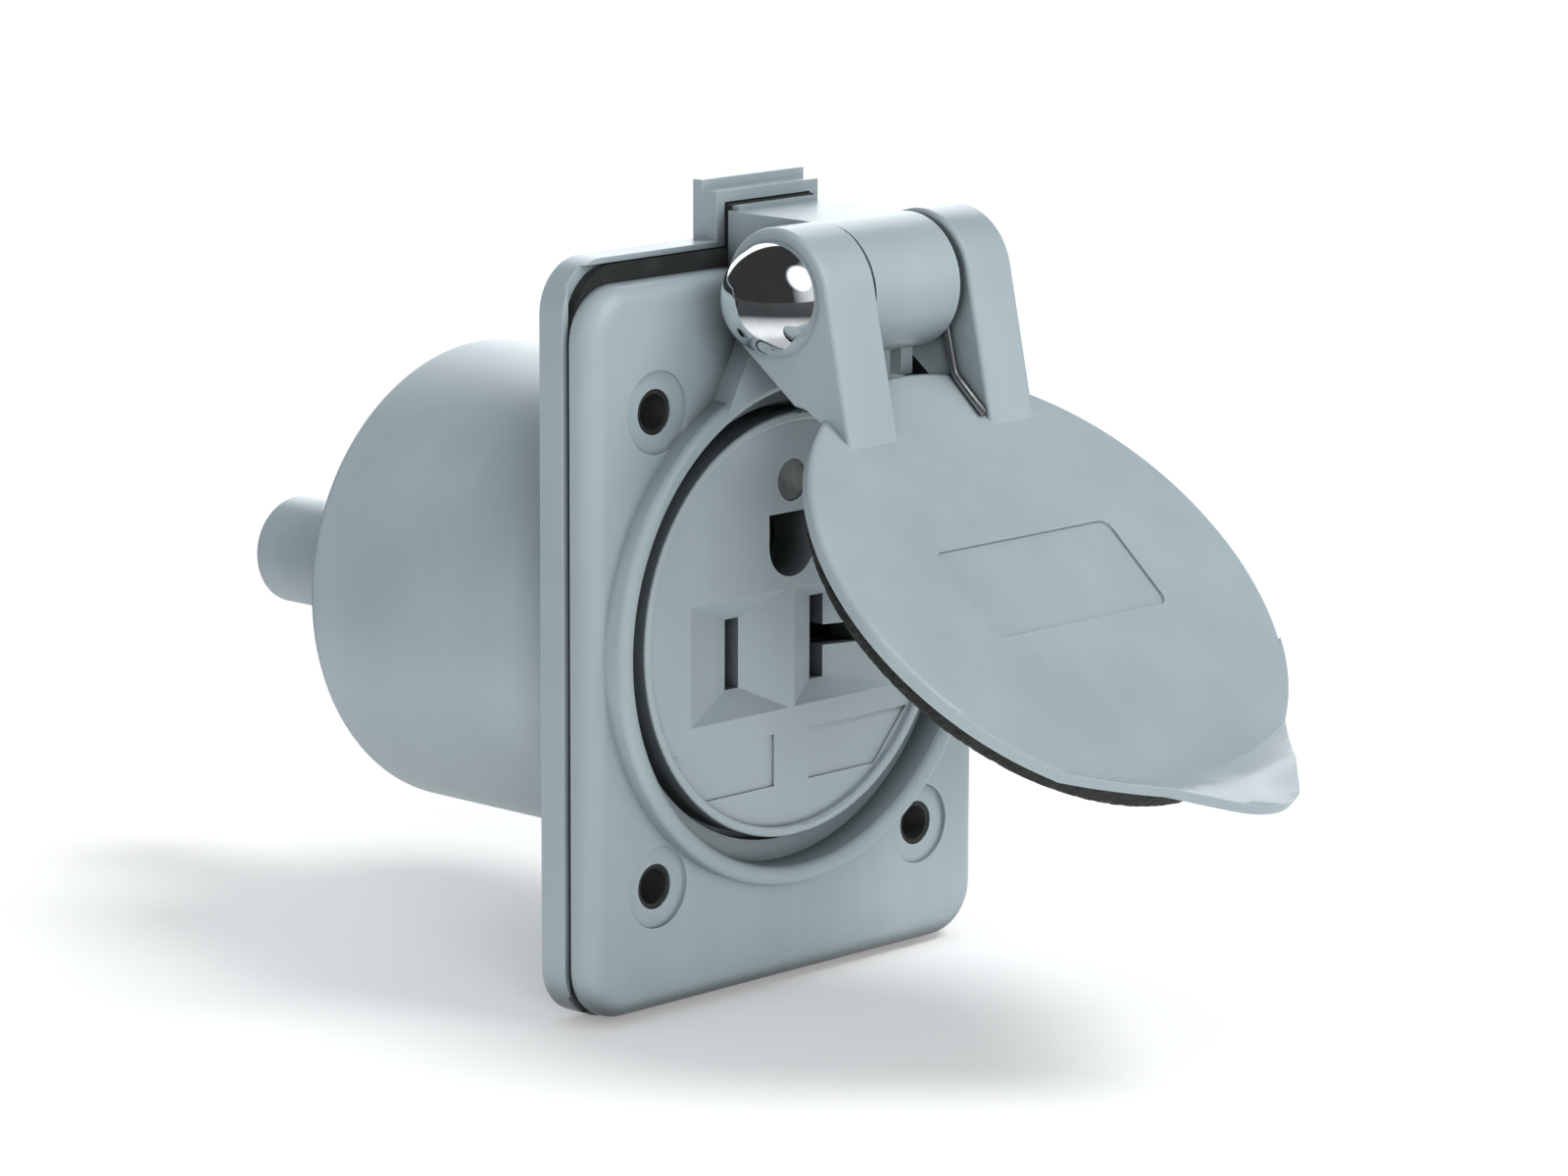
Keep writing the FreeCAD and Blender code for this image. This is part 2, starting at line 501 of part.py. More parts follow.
def make_receptacle_face():
    """The face the plug meets: rim, blade slots, ground slot, rivet recess and two blank panels."""
    body = new_body("receptacle_face")
    flange = new_sketch(body, "face_flange_outline", FORWARD, "face_back")
    add_circle(flange, "face_flange")
    pad(body, flange, "flange_top", "face_back")
    puck = new_sketch(body, "face_outline", FORWARD, "face_back")
    add_circle(puck, "face_rad")
    pad(body, puck, "face_rim", "face_back")
    circles_at(body, "rim_recess", FORWARD, "face_rim", "rim_in", CENTRE, "face_rim", "face_front")
    rim = val("face_rim")
    round_body(body, "rim_edge", "rim_round", lambda edge: flat_at(edge, rim))
    funnel(body, "hot_funnel", "-funnel_out", "-funnel_in", ("hot_left", "hot_right", "hot_low", "hot_high"))
    funnel(body, "neutral_funnel", "funnel_in", "funnel_out",
           ("neutral_left", "neutral_right", "neutral_low", "neutral_high"))
    slot_cut(body, "hot_slot", "hot_left", "hot_right", "hot_low", "hot_high")
    slot_cut(body, "neutral_slot", "neutral_left", "neutral_right", "neutral_low", "neutral_high")
    slot_cut(body, "neutral_arm", "blade_x", "arm_end", "arm_low", "arm_top")
    circles_at(body, "ground_round", FORWARD, "face_front", "ground_rad", [(0, "ground_up")],
               "face_front", "face_back")
    slot_cut(body, "ground_flat_top", "-ground_rad", "ground_rad", "ground_up", "ground_top")
    rivet_spot = [(0, "rivet_up")]
    circles_at(body, "rivet_recess", FORWARD, "face_front", "rivet_rad", rivet_spot, "face_front", "rivet_sink")
    circles_at(body, "rivet_hole", FORWARD, "rivet_sink", "shank_bore", rivet_spot, "rivet_sink", "face_back")
    panels = new_sketch(body, "blank_panels", FORWARD, "face_front")
    for sign in ("-", ""):
        add_polygon(panels, [(sign + "panel_in", "panel_low"), (sign + "panel_low_out", "panel_low"),
                             (sign + "panel_top_out", "panel_high"), (sign + "panel_in", "panel_high")])
    pocket(body, panels, "face_front", "panel_floor")
    circles_at(body, "screw_pilots", FORWARD, "face_back", "pilot_rad", SCREW_SPOTS, "pilot_end", "face_back",
               back=False)
    return keep(body, "receptacle_face")


def make_face_seal():
    """Rubber ring squeezed between the face's flange and the back of the plate."""
    ring = disc("seal_ring", "seal_out", "face_seal_back", "plate_back")
    hole = disc("seal_hole", "seal_in", 0, "plate_front")
    return keep(cut("face_seal", ring, hole), "face_seal")


def rod_up(name, radius, low, high, fwd):
    """An upright cylinder in the middle plane."""
    item = doc.addObject("Part::Cylinder", name)
    item.setExpression("Radius", expr(radius))
    item.setExpression("Height", diff(high, low))
    item.setExpression("Placement.Base.y", "-(%s)" % expr(fwd))
    item.setExpression("Placement.Base.z", expr(low))
    return item


def side_pair(sign, near, far):
    """The two x limits of something between near and far, on the side that sign names."""
    return ("-" + far, "-" + near) if sign == "-" else (near, far)


def side_box(name, sign, near, far, back, front, low, high):
    x0, x1 = side_pair(sign, near, far)
    return box(name, x0, x1, back, front, low, high)


def side_rod(name, sign, radius, near, far):
    x0, x1 = side_pair(sign, near, far)
    return rod(name, radius, x0, x1, "-terminal_depth", "blade_up")


def make_receptacle_base():
    """Rear housing with a well for each contact, a pocket for each terminal and the screw holes."""
    puck = disc("base_puck", "base_rad", "-base_depth", "face_back")
    tools = [
        side_box("hot_well", "-", "well_in", "well_out", "-well_back", "face_back", "well_low", "well_high"),
        side_box("neutral_well", "", "well_in", "arm_well", "-well_back", "face_back", "well_low", "well_high"),
        side_box("hot_link", "-", "well_in", "tab_far", "-well_back", "-link_front", "link_low", "link_high"),
        side_box("neutral_link", "", "well_in", "tab_far", "-well_back", "-link_front", "link_low",
                 "link_high"),
        disc("ground_well_cut", "ground_well", "-well_back", "face_back", 0, "ground_up"),
        box("ground_link", "-link_half", "link_half", "-well_back", "-link_front", "ground_up", "base_rad"),
        box("ground_pocket_cut", "-pocket_half", "pocket_half", "-well_back", "-rivet_wall", "ground_pocket",
            "base_out"),
        rod_up("ground_thread_hole", "thread_bore", "ground_bore", "base_out", "-terminal_depth"),
        disc("rivet_bore", "shank_bore", "-rivet_bore_end", "face_back", 0, "rivet_up"),
    ]
    for side, sign in (("hot", "-"), ("neutral", "")):
        tools.append(side_box(side + "_pocket", sign, "pocket_in", "base_out", "-well_back", "-pocket_front",
                              "pocket_low", "pocket_high"))
        tools.append(side_rod(side + "_thread_hole", sign, "thread_bore", "bore_end", "base_out"))
    for index, (x, z) in enumerate(SCREW_SPOTS):
        tools.append(disc("base_screw_hole_%d" % index, "screw_bore", "-base_depth", "face_back", x, z))
    return keep(cut("receptacle_base", puck, fuse("base_cuts", tools)), "receptacle_base")


def drilled_terminal(name, sign):
    """The flat tab a wire is clamped against, on its side of the base."""
    return side_box(name, sign, "tab_near", "tab_far", "-web_back", "-tab_front", "tab_low", "tab_top")


def make_hot_contact():
    solids = [
        box("hot_leaf_a", "hot_leaf_out", "hot_left", "-web_back", "leaf_front", "leaf_low", "leaf_high"),
        box("hot_leaf_b", "hot_right", "hot_leaf_in", "-web_back", "leaf_front", "leaf_low", "leaf_high"),
        box("hot_web", "-tab_far", "hot_leaf_in", "-web_back", "-web_front", "leaf_low", "leaf_high"),
        drilled_terminal("hot_tab", "-"),
    ]
    hole = side_rod("hot_tab_hole", "-", "thread_bore", "bore_end", "base_out")
    return keep(cut("hot_contact", fuse("hot_strip", solids), hole), "hot_contact")


def make_neutral_contact():
    solids = [
        box("neutral_leaf", "neutral_leaf_in", "neutral_left", "-web_back", "leaf_front", "leaf_low",
            "leaf_high"),
        box("neutral_top", "neutral_right", "neutral_leaf_out", "-web_back", "leaf_front", "arm_top",
            "leaf_high"),
        box("neutral_foot", "neutral_right", "neutral_leaf_out", "-web_back", "leaf_front", "leaf_low",
            "arm_low"),
        box("arm_leaf_a", "neutral_right", "arm_end", "-web_back", "leaf_front", "arm_top", "arm_leaf_top"),
        box("arm_leaf_b", "neutral_right", "arm_end", "-web_back", "leaf_front", "arm_leaf_low", "arm_low"),
        box("neutral_web", "neutral_leaf_in", "tab_far", "-web_back", "-web_front", "leaf_low", "leaf_high"),
        drilled_terminal("neutral_tab", ""),
    ]
    hole = side_rod("neutral_tab_hole", "", "thread_bore", "bore_end", "base_out")
    return keep(cut("neutral_contact", fuse("neutral_strip", solids), hole), "neutral_contact")


def make_ground_contact():
    tube = disc("ground_tube_out", "ground_tube", "-web_back", "leaf_front", 0, "ground_up")
    hollow = disc("ground_tube_in", "ground_inside", "-web_front", "face_back", 0, "ground_up")
    slit = box("ground_slit", "-slit_half", "slit_half", "-link_front", "face_back", "ground_up",
               "ground_thread")
    strip = [
        cut("ground_sleeve", tube, fuse("ground_hollow", [hollow, slit])),
        box("ground_strap", "-leaf_half", "leaf_half", "-web_back", "-web_front", "ground_up",
            "ground_plate_high"),
        box("ground_tab", "-tab_wide", "tab_wide", "-web_back", "-tab_front", "ground_plate_low",
            "ground_plate_high"),
    ]
    tube_clear = disc("ground_strap_clear", "ground_inside", "-web_front", "face_back", 0, "ground_up")
    hole = rod_up("ground_tab_hole", "thread_bore", "ground_bore", "base_out", "-terminal_depth")
    tools = fuse("ground_strip_cuts", [tube_clear, hole])
    return keep(cut("ground_contact", fuse("ground_strip", strip), tools), "ground_contact")


def side_screw(side, sign):
    head = side_rod(side + "_screw_head", sign, "head_rad", "head_near", "head_far")
    shank = side_rod(side + "_screw_shank", sign, "thread_rad", "thread_end", "head_far")
    slot = side_box(side + "_screw_slot", sign, "slot_floor", "base_out", "-slot_back", "-slot_front",
                    "clamp_low", "clamp_high")
    return keep(cut(side + "_screw", fuse(side + "_screw_raw", [head, shank]), slot), side + "_screw")


def make_ground_screw():
    head = rod_up("ground_screw_head", "head_rad", "ground_head_low", "ground_head_high", "-terminal_depth")
    shank = rod_up("ground_screw_shank", "thread_rad", "ground_thread", "ground_head_high", "-terminal_depth")
    slot = box("ground_screw_slot", "-clamp_half", "clamp_half", "-slot_back", "-slot_front", "ground_slot",
               "cup_inside")
    return keep(cut("ground_screw", fuse("ground_screw_raw", [head, shank]), slot), "ground_screw")


def make_wire_clamps():
    """One square clamp plate under each terminal screw."""
    plates = [
        side_box("hot_clamp", "-", "clamp_near", "clamp_far", "-clamp_back", "-clamp_front", "clamp_low",
                 "clamp_high"),
        side_box("neutral_clamp", "", "clamp_near", "clamp_far", "-clamp_back", "-clamp_front", "clamp_low",
                 "clamp_high"),
        box("ground_clamp", "-clamp_half", "clamp_half", "-clamp_back", "-clamp_front", "ground_clamp_low",
            "ground_clamp_high"),
    ]
    holes = [
        side_rod("hot_clamp_hole", "-", "thread_bore", "bore_end", "base_out"),
        side_rod("neutral_clamp_hole", "", "thread_bore", "bore_end", "base_out"),
        rod_up("ground_clamp_hole", "thread_bore", "ground_bore", "base_out", "-terminal_depth"),
    ]
    return keep(cut("wire_clamps", fuse("clamp_plates", plates), fuse("clamp_holes", holes)), "wire_clamps")


def make_face_rivet():
    head = disc("rivet_head_puck", "rivet_head", "rivet_sink", "rivet_top", 0, "rivet_up")
    shank = disc("rivet_shank", "shank_rad", "-rivet_end", "rivet_top", 0, "rivet_up")
    return keep(fuse("face_rivet", [head, shank]), "face_rivet")


def make_base_screws():
    solids = []
    for index, (x, z) in enumerate(SCREW_SPOTS):
        solids.append(disc("base_screw_head_%d" % index, "screw_head", "-screw_top", "-base_depth", x, z))
        solids.append(disc("base_screw_shank_%d" % index, "shank_rad", "-base_depth", "screw_tip", x, z))
    return keep(fuse("base_screws", solids), "base_screws")


def make_cable_grommet():
    sleeve = disc("grommet_sleeve", "grommet_rad", "-grommet_end", "-grommet_start", 0, "boss_up")
    hole = disc("grommet_hole", "grommet_bore", "-boss_depth", "-cup_floor", 0, "boss_up")
    return keep(cut("cable_grommet", sleeve, hole), "cable_grommet")


# ---------------------------------------------------------------- the lid, drawn closed and then swung open

AXIS_POINT = Vector(0, -val("hinge_fwd"), val("hinge_up"))
SWING = Placement(Vector(0, 0, 0), Rotation(Vector(1, 0, 0), -val("open_deg")), AXIS_POINT)


def revolve(body, sketch):
    item = body.newObject("PartDesign::Revolution", sketch.Name + "_turn")
    item.Profile = sketch
    item.ReferenceAxis = (sketch, ["Axis0"])
    item.Angle = 360
    doc.recompute()
    return item


def make_lip():
    """The finger lip: a ring flared in two slopes and cut to the blunt pointed outline of the lid."""
    flare = new_body("lip_flare")
    profile = new_sketch(flare, "lip_profile", SIDE, 0)
    add_polygon(profile, [("-lid_back", "lip_in_up"), ("-lid_front", "lip_in_up"),
                          ("-lid_front", "lip_bend_up"),
                          ("-lip_knee_front", "lip_knee_up"), ("-lip_out_front", "lip_out_up"),
                          ("-lip_out_back", "lip_out_up"), ("-lip_knee_back", "lip_knee_up"),
                          ("-lid_back", "lip_bend_up")])
    centre = val("tab_centre")
    axis = profile.addGeometry(Part.LineSegment(Vector(0, centre, 0), Vector(1, centre, 0)), True)
    profile.addConstraint(Sketcher.Constraint("Horizontal", axis))
    bind(profile, "DistanceY", (-1, 1, axis, 1), "tab_centre")
    revolve(flare, profile)
    wedge = new_body("lip_wedge")
    outline = new_sketch(wedge, "lip_outline", FORWARD, "face_back")
    add_polygon(outline, [("-tangent_x", "-tangent_down"), (0, "-lid_tip"), ("tangent_x", "-tangent_down")])
    pad(wedge, outline, "prism_front", "face_back")
    tip = val("lid_tip")
    round_body(wedge, "tip_rounding", "tip_round",
               lambda edge: runs_along(edge, Y_AXIS) and abs(edge.Vertexes[0].Z + tip) < 1e-4)
    round_part = disc("lip_round_part", "lid_rad", "face_back", "prism_front")
    return common("finger_lip", [flare, fuse("pointed_prism", [wedge, round_part])])


def make_ear(side, inner, outer):
    """One hinge ear: round about the pin, with a straight front edge down to the lid's face."""
    body = new_body("ear_" + side)
    sketch = new_sketch(body, "ear_%s_side" % side, SIDE, inner)
    add_polygon(sketch, [("-rear_tan_fwd", "rear_tan_up"), ("-ear_rear", "ear_knee"),
                         ("-lid_back", "ear_root"), ("-lid_front", "ear_foot"),
                         ("-ear_tan_fwd", "ear_tan_up"), ("-hinge_fwd", "hinge_up")])
    pad(body, sketch, outer, inner)
    eye = new_sketch(body, "ear_%s_eye" % side, SIDE, inner)
    add_circle(eye, "ear_rad", "-hinge_fwd", "hinge_up")
    pad(body, eye, outer, inner)
    sides = (val(inner), val(outer))
    round_body(body, "ear_%s_rounding" % side, "ear_round", lambda edge: in_side_plane(edge, sides)
               and edge.BoundBox.ZMax > val("lid_rad"))
    return body


def make_lid_disc():
    """The flat of the lid, with a rounded front edge and a sunk blank panel with rounded corners."""
    body = new_body("lid_disc")
    outline = new_sketch(body, "lid_outline", FORWARD, "lid_back")
    add_circle(outline, "lid_rad")
    pad(body, outline, "lid_front", "lid_back")
    front = val("lid_front")
    round_body(body, "lid_rounding", "lid_edge", lambda edge: flat_at(edge, front))
    badge = new_sketch(body, "badge_outline", FORWARD, "lid_front")
    add_rectangle(badge, "-badge_half", "badge_half", "badge_low", "badge_high")
    pocket(body, badge, "lid_front", "badge_floor")
    round_body(body, "badge_corners", "badge_round", corner_edges("badge_half"))
    return body


def make_lid():
    """Disc, finger lip and two hinge ears."""
    flat = common("lid_flat", [make_lid_disc(),
                               disc("bend_circle", "tab_bend_rad", "lid_back", "lid_front", 0, "tab_centre")])
    solids = [flat, make_lip()]
    for side, inner, outer in EAR_SIDES:
        solids.append(make_ear(side, inner, outer))
    bore = rod("ear_bores", "bore_rad", "-dome_out", "dome_out", "hinge_fwd", "hinge_up")
    lid = cut("lid", fuse("lid_raw", solids), bore)
    lid.Placement = SWING
    return keep(lid, "lid")


def make_lid_gasket():
    body = new_body("lid_gasket")
    sketch = new_sketch(body, "foam_outline", FORWARD, "foam_back")
    add_circle(sketch, "foam_rad")
    pad(body, sketch, "lid_back", "foam_back")
    body.Placement = SWING
    return keep(body, "lid_gasket")


def make_hinge_pin():
    return keep(rod("hinge_pin", "pin_rad", "-pin_end", "pin_end", "hinge_fwd", "hinge_up"), "hinge_pin")


def cap_dome(side, radius, centre, x0, x1):
    ball = doc.addObject("Part::Sphere", "cap_ball_" + side)
    ball.setExpression("Radius", expr(radius))
    ball.Placement = Placement(Vector(0, 0, 0), Rotation(Vector(0, 1, 0), 90))
    ball.setExpression("Placement.Base.x", expr(centre))
    ball.setExpression("Placement.Base.y", expr("-hinge_fwd"))
    ball.setExpression("Placement.Base.z", expr("hinge_up"))
    window = box("cap_window_" + side, x0, x1, 0, "cap_window", 0, "cap_window")
    return common("cap_" + side, [ball, window])


def make_pin_caps():
    """The two push-on caps that hold the pin's ends: a high dome on the left, a low button on the right."""
    domes = [cap_dome("left", "dome_ball", "-dome_centre", "-dome_out", "-ear_out"),
             cap_dome("right", "button_ball", "button_centre", "ear_out", "button_out")]
    socket = rod("cap_sockets", "bore_rad", "-socket_end", "socket_end", "hinge_fwd", "hinge_up")
    return keep(cut("pin_caps", group("cap_pair", domes), socket), "pin_caps")


def ball_at(name, point):
    item = doc.addObject("Part::Sphere", name)
    item.setExpression("Radius", expr("wire_rad"))
    item.Placement = Placement(point, Rotation())
    return item


def wire_between(name, start, end):
    item = doc.addObject("Part::Cylinder", name)
    item.setExpression("Radius", expr("wire_rad"))
    item.Height = start.distanceToPoint(end)
    item.Placement = Placement(start, Rotation(Vector(0, 0, 1), end - start))
    return item


def make_lid_spring():
    """Torsion spring: coil around the pin, a tail into the barrel and a leg lying on the lid."""
    angle = math.radians(REST_ANGLE)
    radial = Vector(0, math.cos(angle), math.sin(angle))
    tangent = Vector(0, -math.sin(angle), math.cos(angle))
    axis = Vector(1, 0, 0)
    helix = doc.addObject("Part::Helix", "coil_line")
    helix.setExpression("Pitch", expr("coil_pitch"))
    helix.setExpression("Height", diff("coil_right", "coil_left"))
    helix.setExpression("Radius", expr("coil_rad"))
    profile = doc.addObject("Part::Circle", "wire_section")
    profile.setExpression("Radius", expr("wire_rad"))
    profile.Placement = Placement(Vector(val("coil_rad"), 0, 0), Rotation(Vector(1, 0, 0), 90))
    coil = doc.addObject("Part::Sweep", "coil")
    coil.Sections = [profile]
    coil.Spine = (helix, [])
    coil.Solid = True
    coil.Frenet = True
    doc.recompute()
    turn = Rotation(radial, tangent, axis, "ZXY")
    coil.Placement = Placement(Vector(val("coil_left"), -val("hinge_fwd"), val("hinge_up")), turn)
    centre = Vector(0, -val("hinge_fwd"), val("hinge_up"))
    start = centre + radial * val("coil_rad") + axis * val("coil_left")
    end = centre + radial * val("coil_rad") + axis * val("coil_right")
    tail = Vector(val("tail_end"), start.y, start.z)
    knee = SWING.multVec(Vector(val("coil_right"), -val("leg_fwd"), val("leg_up")))
    toe = SWING.multVec(Vector(val("coil_right"), -val("leg_fwd"), val("toe_up")))
    solids = [coil, ball_at("coil_start_ball", start), ball_at("coil_end_ball", end),
              ball_at("knee_ball", knee),
              wire_between("tail_wire", tail, start), wire_between("leg_wire", end, knee),
              wire_between("toe_wire", knee, toe)]
    return keep(fuse("lid_spring", solids), "lid_spring")


def build():
    make_front_plate()
    make_plate_gasket()
    make_back_cup()
    make_receptacle_face()
    make_face_seal()
    make_receptacle_base()
    make_hot_contact()
    make_neutral_contact()
    make_ground_contact()
    side_screw("hot", "-")
    side_screw("neutral", "")
    make_ground_screw()
    make_wire_clamps()
    make_face_rivet()
    make_base_screws()
    make_cable_grommet()
    make_lid()
    make_lid_gasket()
    make_hinge_pin()
    make_pin_caps()
    make_lid_spring()


def export_all():
    doc.recompute()
    for item in doc.Objects:
        if "Invalid" in item.State or "Error" in item.State:
            raise ValueError("%s did not compute" % item.Name)
    for label, item in NODES:
        shape = item.Shape
        if shape.isNull() or not shape.isValid():
            raise ValueError("%s has no valid shape" % label)
        print("%-18s solids %d volume %.1f" % (label, len(shape.Solids), shape.Volume))
        shape.exportStep("parts/%s.step" % label)


build()
export_all()
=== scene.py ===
import json
import math

import bmesh
import bpy
from mathutils import Matrix, Vector, noise


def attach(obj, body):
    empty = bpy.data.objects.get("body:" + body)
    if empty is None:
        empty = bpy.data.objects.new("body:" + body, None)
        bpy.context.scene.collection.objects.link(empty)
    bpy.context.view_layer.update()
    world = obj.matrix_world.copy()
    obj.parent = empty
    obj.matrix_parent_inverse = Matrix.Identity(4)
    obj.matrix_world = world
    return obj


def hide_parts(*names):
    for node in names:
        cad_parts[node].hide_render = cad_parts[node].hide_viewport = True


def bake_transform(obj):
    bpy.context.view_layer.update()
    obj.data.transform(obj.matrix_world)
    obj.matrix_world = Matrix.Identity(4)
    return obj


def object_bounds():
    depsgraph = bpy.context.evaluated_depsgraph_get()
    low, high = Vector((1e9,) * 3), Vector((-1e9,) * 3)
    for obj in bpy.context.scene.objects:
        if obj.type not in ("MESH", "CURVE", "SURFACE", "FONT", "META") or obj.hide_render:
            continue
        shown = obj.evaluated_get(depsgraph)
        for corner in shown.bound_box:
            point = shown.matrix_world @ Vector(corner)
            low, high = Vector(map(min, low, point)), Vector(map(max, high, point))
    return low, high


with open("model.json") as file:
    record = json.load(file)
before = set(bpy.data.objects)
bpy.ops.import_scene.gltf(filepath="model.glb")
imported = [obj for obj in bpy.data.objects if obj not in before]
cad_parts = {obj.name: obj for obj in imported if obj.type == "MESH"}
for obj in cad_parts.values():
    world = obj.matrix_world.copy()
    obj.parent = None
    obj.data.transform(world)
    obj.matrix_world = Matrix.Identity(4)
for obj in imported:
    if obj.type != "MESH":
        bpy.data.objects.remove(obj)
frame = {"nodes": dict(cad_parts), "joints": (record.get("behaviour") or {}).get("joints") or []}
NODES = frame["nodes"]
CAD_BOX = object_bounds()

MM = 0.001
HINGE = Vector(frame["joints"][0]["pos_m"])
OPEN_DEG = -frame["joints"][0]["range_deg"][0]

# ---------------------------------------------------------------- node helpers


def new_material(name):
    material = bpy.data.materials.new(name)
    material.use_nodes = True
    tree = material.node_tree
    tree.nodes.clear()
    output = tree.nodes.new("ShaderNodeOutputMaterial")
    shader = tree.nodes.new("ShaderNodeBsdfPrincipled")
    tree.links.new(shader.outputs["BSDF"], output.inputs["Surface"])
    return material, tree, shader


def value_in(tree, socket, source):
    """Feeds a socket from another socket, or sets it to a plain value."""
    if isinstance(source, bpy.types.NodeSocket):
        tree.links.new(source, socket)
    else:
        socket.default_value = source


def coords(tree, scale=(1, 1, 1)):
    place = tree.nodes.new("ShaderNodeTexCoord")
    mapping = tree.nodes.new("ShaderNodeMapping")
    mapping.inputs["Scale"].default_value = scale
    tree.links.new(place.outputs["Object"], mapping.inputs["Vector"])
    return mapping.outputs["Vector"]


def noise_of(tree, vector, scale, detail=3.0, rough=0.5):
    node = tree.nodes.new("ShaderNodeTexNoise")
    node.inputs["Scale"].default_value = scale
    node.inputs["Detail"].default_value = detail
    node.inputs["Roughness"].default_value = rough
    tree.links.new(vector, node.inputs["Vector"])
    return node.outputs["Fac"]


def ramp(tree, source, low, high, to_low=0.0, to_high=1.0):
    node = tree.nodes.new("ShaderNodeMapRange")
    value_in(tree, node.inputs["Value"], source)
    node.inputs["From Min"].default_value = low
    node.inputs["From Max"].default_value = high
    node.inputs["To Min"].default_value = to_low
    node.inputs["To Max"].default_value = to_high
    return node.outputs["Result"]


def mix_colour(tree, factor, first, second):
    node = tree.nodes.new("ShaderNodeMix")
    node.data_type = "RGBA"
    value_in(tree, node.inputs[0], factor)
    value_in(tree, node.inputs[6], first)
    value_in(tree, node.inputs[7], second)
    return node.outputs[2]


def combine(tree, kind, first, second):
    node = tree.nodes.new("ShaderNodeMath")
    node.operation = kind
    value_in(tree, node.inputs[0], first)
    value_in(tree, node.inputs[1], second)
    return node.outputs["Value"]


def bump(tree, height, distance, strength, before=None):
    node = tree.nodes.new("ShaderNodeBump")
    node.inputs["Distance"].default_value = distance
    node.inputs["Strength"].default_value = strength
    tree.links.new(height, node.inputs["Height"])
    if before is not None:
        tree.links.new(before, node.inputs["Normal"])
    return node.outputs["Normal"]


def edge_wear_and_highlight(tree, radius):
    """1 on convex edges, 0 on flats: how far a rounded normal leans away from the true one."""
    bevel = tree.nodes.new("ShaderNodeBevel")
    bevel.samples = 4
    bevel.inputs["Radius"].default_value = radius
    geometry = tree.nodes.new("ShaderNodeNewGeometry")
    dot = tree.nodes.new("ShaderNodeVectorMath")
    dot.operation = "DOT_PRODUCT"
    tree.links.new(bevel.outputs["Normal"], dot.inputs[0])
    tree.links.new(geometry.outputs["Normal"], dot.inputs[1])
    return ramp(tree, dot.outputs["Value"], 0.99, 0.75)


def rgba(red, green, blue):
    return (red, green, blue, 1.0)


# Painted shade: how far and how strongly ambient occlusion darkens the base colour to near black in recesses.
PAINTED_SHADE_REACH = 13 * MM
PAINTED_SHADE_SHUT = 0.14
PAINTED_SHADE_OPEN = 0.66
PAINTED_SHADE_DARKNESS = 0.96
PAINTED_SHADE_TINT = rgba(0.008, 0.012, 0.013)


def painted_shade(tree, colour):
    """Darkens a colour where the surface is hemmed in: painted shade in gaps and slots."""
    shade = tree.nodes.new("ShaderNodeAmbientOcclusion")
    shade.samples = 6
    shade.inputs["Distance"].default_value = PAINTED_SHADE_REACH
    depth = ramp(tree, shade.outputs["AO"], PAINTED_SHADE_SHUT, PAINTED_SHADE_OPEN, PAINTED_SHADE_DARKNESS, 0.0)
    return mix_colour(tree, depth, colour, PAINTED_SHADE_TINT)


# ---------------------------------------------------------------- materials


def moulded_plastic(name, base, dark, light, roughness=0.36, scratches=0.5):
    """Satin moulded thermoplastic: fine spark grain, slow mottling, faint scuffs, edges pale from wear and
    painted highlight.
    """
    material, tree, shader = new_material(name)
    at = coords(tree)
    grain = noise_of(tree, at, 3800.0, 2.0)
    mottle = noise_of(tree, at, 45.0, 4.0)
    flow = noise_of(tree, coords(tree, (1, 1, 0.15)), 140.0, 3.0)
    scuff = noise_of(tree, coords(tree, (1.0, 14.0, 3.0)), 120.0, 6.0, 0.7)
    scuff_mask = ramp(tree, scuff, 0.72, 0.84)
    wear_and_highlight = edge_wear_and_highlight(tree, 0.35 * MM)
    tone = ramp(tree, mottle, 0.3, 0.7)
    colour = mix_colour(tree, tone, rgba(*dark), rgba(*base))
    streak = combine(tree, "MULTIPLY", ramp(tree, flow, 0.4, 0.75), 0.25)
    colour = mix_colour(tree, streak, colour, rgba(*light))
    colour = mix_colour(tree, combine(tree, "MULTIPLY", scuff_mask, 0.35 * scratches), colour, rgba(*light))
    # Convex edges lightened towards the light grey: partly wear, partly a painted edge highlight.
    colour = mix_colour(tree, combine(tree, "MULTIPLY", wear_and_highlight, 0.55), colour, rgba(*light))
    # Painted shade darkens the colour in recesses, slots and under parts.
    value_in(tree, shader.inputs["Base Color"], painted_shade(tree, colour))
    rough = combine(tree, "ADD", ramp(tree, mottle, 0.3, 0.7, roughness - 0.05, roughness + 0.05),
                    combine(tree, "MULTIPLY", scuff_mask, 0.12))
    value_in(tree, shader.inputs["Roughness"], rough)
    shader.inputs["IOR"].default_value = 1.5
    shader.inputs["Coat Weight"].default_value = 0.12
    shader.inputs["Coat Roughness"].default_value = 0.25
    fine = bump(tree, grain, 0.02 * MM, 0.35)
    broad = bump(tree, mottle, 0.06 * MM, 0.25, fine)
    value_in(tree, shader.inputs["Normal"], broad)
    return material


